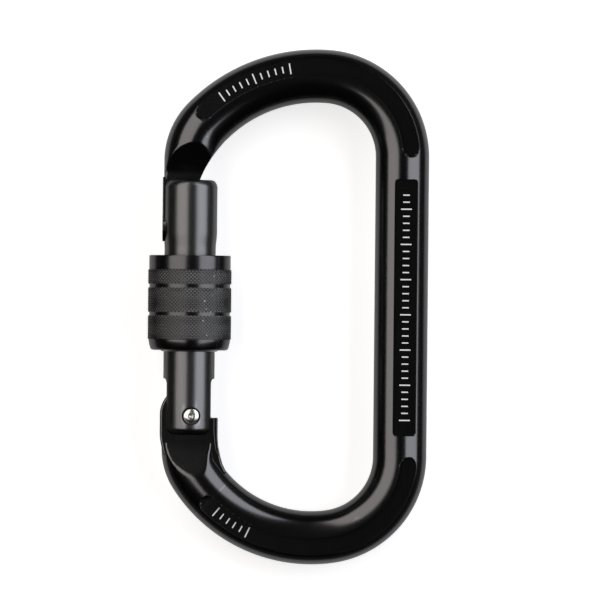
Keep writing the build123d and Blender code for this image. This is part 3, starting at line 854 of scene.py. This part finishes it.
# %% [markdown]
# ## The knurled sleeve
# The knurl is rolled in as two families of crossing V grooves, which leave rows of
# little pyramids. As a formula, a point's height is one minus the larger of its
# nearness to a groove of either family, so the grid's lines lie along the grooves.

# %% Sleeve surface
knurl_count, knurl_steps = 74, 6
knurl_crest_r, knurl_depth = 8.95, 0.20
knurl_pitch = 2 * math.pi * knurl_crest_r / knurl_count
knurl_bands = ((2.28, 7.38), (8.08, 13.36), (14.08, 17.22))


def knurl_height(around, along):
    """Pyramids: the smaller of the distances to each family's nearest groove, 0 to 1."""
    wave = [np.abs(((v + 0.5) % 1.0) - 0.5) * 2 for v in (around + along, around - along)]
    return np.minimum(*wave)


def sleeve_rows():
    """(radius, height over the sleeve's end, knurl depth) rows, up the outside, down the bore."""
    outside = [(6.65, 0.0, 0), (7.6, 0.0, 0), (8.02, 0.07, 0), (8.28, 0.3, 0), (8.42, 0.7, 0),
               (8.60, 1.4, 0), (8.72, 2.02, 0), (8.72, 2.16, 0), (8.66, 2.28, 0)]
    for low, high in knurl_bands:
        count = int(round((high - low - 0.24) / knurl_pitch * knurl_steps))
        inner = np.linspace(low + 0.12, high - 0.12, count)
        outside += [(8.62, low, 0), (8.80, low + 0.02, 0)]
        outside += [(knurl_crest_r, h, knurl_depth) for h in inner]
        outside += [(8.80, high - 0.02, 0), (8.62, high, 0)]
    outside += [(8.62, 17.26, 0), (8.69, 17.32, 0), (8.70, 17.45, 0), (8.70, 18.6, 0),
                (8.70, 19.95, 0), (8.67, 20.12, 0), (8.60, 20.22, 0), (8.48, 20.25, 0)]
    inside = [(6.8, 20.25, 0), (6.66, 20.2, 0), (6.6, 20.05, 0), (6.6, 12.0, 0),
              (6.6, 5.83, 0), (6.02, 5.25, 0), (6.02, 0.80, 0), (6.06, 0.75, 0),
              (6.56, 0.75, 0), (6.6, 0.71, 0), (6.6, 0.05, 0)]
    return np.array(outside + inside)


sleeve_table = sleeve_rows()
columns = knurl_count * knurl_steps
around = np.arange(columns) / knurl_steps
crest_radius, along, groove_depth = (column[:, None] for column in sleeve_table.T)
radius = crest_radius - groove_depth * (1 - knurl_height(around[None, :], along / knurl_pitch))
turn = around * 2 * math.pi / knurl_count
sleeve_points = np.stack([gate_x + radius * np.cos(turn), sleeve_y + along + 0 * radius,
                          -radius * np.sin(turn)], -1)
sleeve_quads = grid_faces(len(sleeve_table), columns, wrap_rows=True)
add_piece("knurled_sleeve", [(sleeve_points, sleeve_quads, [])],
          "sleeve", sleeve_skin, ["locking_sleeve"], edge=40)
print("sleeve rows", len(sleeve_table), "columns", columns, "triangles", 2 * len(sleeve_table) * columns)

# %% [markdown]
# ## Rivet, rings, plunger and spring
# The steel pieces are small and bright. The rivet's heads are domed with a dimple
# from the riveting tool. The rings are round wire bent into an open circle.

# %% Rivet
half_rivet = [(0.04, 4.38), (0.14, 4.42), (0.30, 4.64), (0.42, 4.69), (0.75, 4.665),
              (1.1, 4.57), (1.45, 4.42), (1.66, 4.30), (1.745, 4.16), (1.75, 3.9), (1.75, 3.76), (1.5, 3.75)]
head_rise = 0.65
rivet_rows = ([(r, -z - head_rise) for r, z in half_rivet]
              + [(r, z + head_rise) for r, z in half_rivet[::-1]])
rivet_piece = add_piece("rivet_turned", [upright(rivet_rows, 64)], "gate",
                        bright_steel, ["hinge_rivet"], edge=50)


# %% Wire rings
ring_wire, ring_rows, ring_columns = 0.4, 96, 14


def wire_ring(mean_r, y, gap, gap_at):
    """A round wire carried round the gate's axis, open for gap degrees centred on gap_at."""
    turn = np.radians(gap_at + gap / 2 + np.linspace(0, 360 - gap, ring_rows))[:, None]
    section = np.linspace(0, 2 * math.pi, ring_columns, endpoint=False)[None, :]
    r = mean_r + ring_wire * np.cos(section)
    points = np.stack([gate_x + r * np.cos(turn), y + ring_wire * np.sin(section) + 0 * turn,
                       -r * np.sin(turn)], -1)
    ends = np.arange(ring_columns)
    caps = [ends[::-1], ends + (ring_rows - 1) * ring_columns]
    return points, grid_faces(ring_rows, ring_columns), caps


stop_y, detent_y = sleeve_y + 0.12, sleeve_y + 6.7
stop_ring = add_piece("stop_ring_wire", [wire_ring(5.75, stop_y, 20, 90)], "gate",
                      spring_steel, ["sleeve_stop_ring"])
detent_ring = add_piece("detent_ring_wire", [wire_ring(6.34, detent_y, 76, 180)],
                        "sleeve_slider", spring_steel, ["sleeve_detent_ring"])
for node, steel in (("spring_plunger", bright_steel), ("gate_spring", spring_steel)):
    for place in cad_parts[node].material_slots:
        place.material = steel
print("steel pieces:", rivet_piece.name, stop_ring.name, detent_ring.name)

# %% [markdown]
# ## Floor
# The floor is a sheet of white paper, a little raised in brightness for the camera
# so that it reads as white, with the carabiner's soft shadow left on it. In polished
# metal the paper shows its lit white only close by. Where a reflected ray has travelled further,
# the paper itself shows a faint even glow, a painted dark reflection, which keeps the rim of light on the
# bar thin.

# %% Floor
def floor_sheet(half, z):
    """Four corners of a level square, facing up."""
    corners = np.array([(-half, -half), (half, -half), (half, half), (-half, half)])
    mesh = bpy.data.meshes.new("floor_sheet")
    mesh.from_pydata([(x * mm, y * mm, z * mm) for x, y in corners], [], [(0, 1, 2, 3)])
    sheet = bpy.data.objects.new("floor_sheet", mesh)
    scene.collection.objects.link(sheet)
    return sheet


def math_node(tree, operation, first, second, clamp=False):
    """One Math node; an input is a socket or a number."""
    node = tree.nodes.new("ShaderNodeMath")
    node.operation, node.use_clamp = operation, clamp
    for slot_number, value in enumerate((first, second)):
        if hasattr(value, "is_linked"):
            tree.links.new(value, node.inputs[slot_number])
        else:
            node.inputs[slot_number].default_value = value
    return node.outputs[0]


# The second number is the strength of the painted dark reflection that the paper shows to far glossy rays.
camera_glow, painted_reflection_glow = 0.62, 0.05
paper_reach, paper_fade = 0.026, 0.012
floor = floor_sheet(3000.0, sleeve_low[2] - 0.02)
paper = bpy.data.materials.new("white_paper")
paper.use_nodes = True
paper_tree = paper.node_tree
paper_shader = paper_tree.nodes["Principled BSDF"]
paper_shader.inputs["Base Color"].default_value = (0.78, 0.78, 0.78, 1)
paper_shader.inputs["Roughness"].default_value = 0.9
paper_shader.inputs["Specular IOR Level"].default_value = 0.0
glow = paper_tree.nodes.new("ShaderNodeEmission")
painted_far_reflection = paper_tree.nodes.new("ShaderNodeEmission")
paper_path = paper_tree.nodes.new("ShaderNodeLightPath")
seen = math_node(paper_tree, "MULTIPLY", paper_path.outputs["Is Camera Ray"], camera_glow)
paper_tree.links.new(seen, glow.inputs["Strength"])
both = paper_tree.nodes.new("ShaderNodeAddShader")
far = paper_tree.nodes.new("ShaderNodeMixShader")
paper_tree.links.new(paper_shader.outputs["BSDF"], both.inputs[0])
paper_tree.links.new(glow.outputs["Emission"], both.inputs[1])
# Painted reflection: glossy rays longer than paper_reach see this faint glow on the paper instead of its lit
# white.
painted_far_reflection.inputs["Strength"].default_value = painted_reflection_glow
away = math_node(paper_tree, "SUBTRACT", paper_path.outputs["Ray Length"], paper_reach)
away = math_node(paper_tree, "DIVIDE", away, paper_fade, clamp=True)
away = math_node(paper_tree, "MULTIPLY", paper_path.outputs["Is Glossy Ray"], away)
paper_tree.links.new(away, far.inputs["Fac"])
paper_tree.links.new(both.outputs["Shader"], far.inputs[1])
paper_tree.links.new(painted_far_reflection.outputs["Emission"], far.inputs[2])
paper_tree.links.new(far.outputs["Shader"], paper_tree.nodes["Material Output"].inputs["Surface"])
floor.data.materials.append(paper)
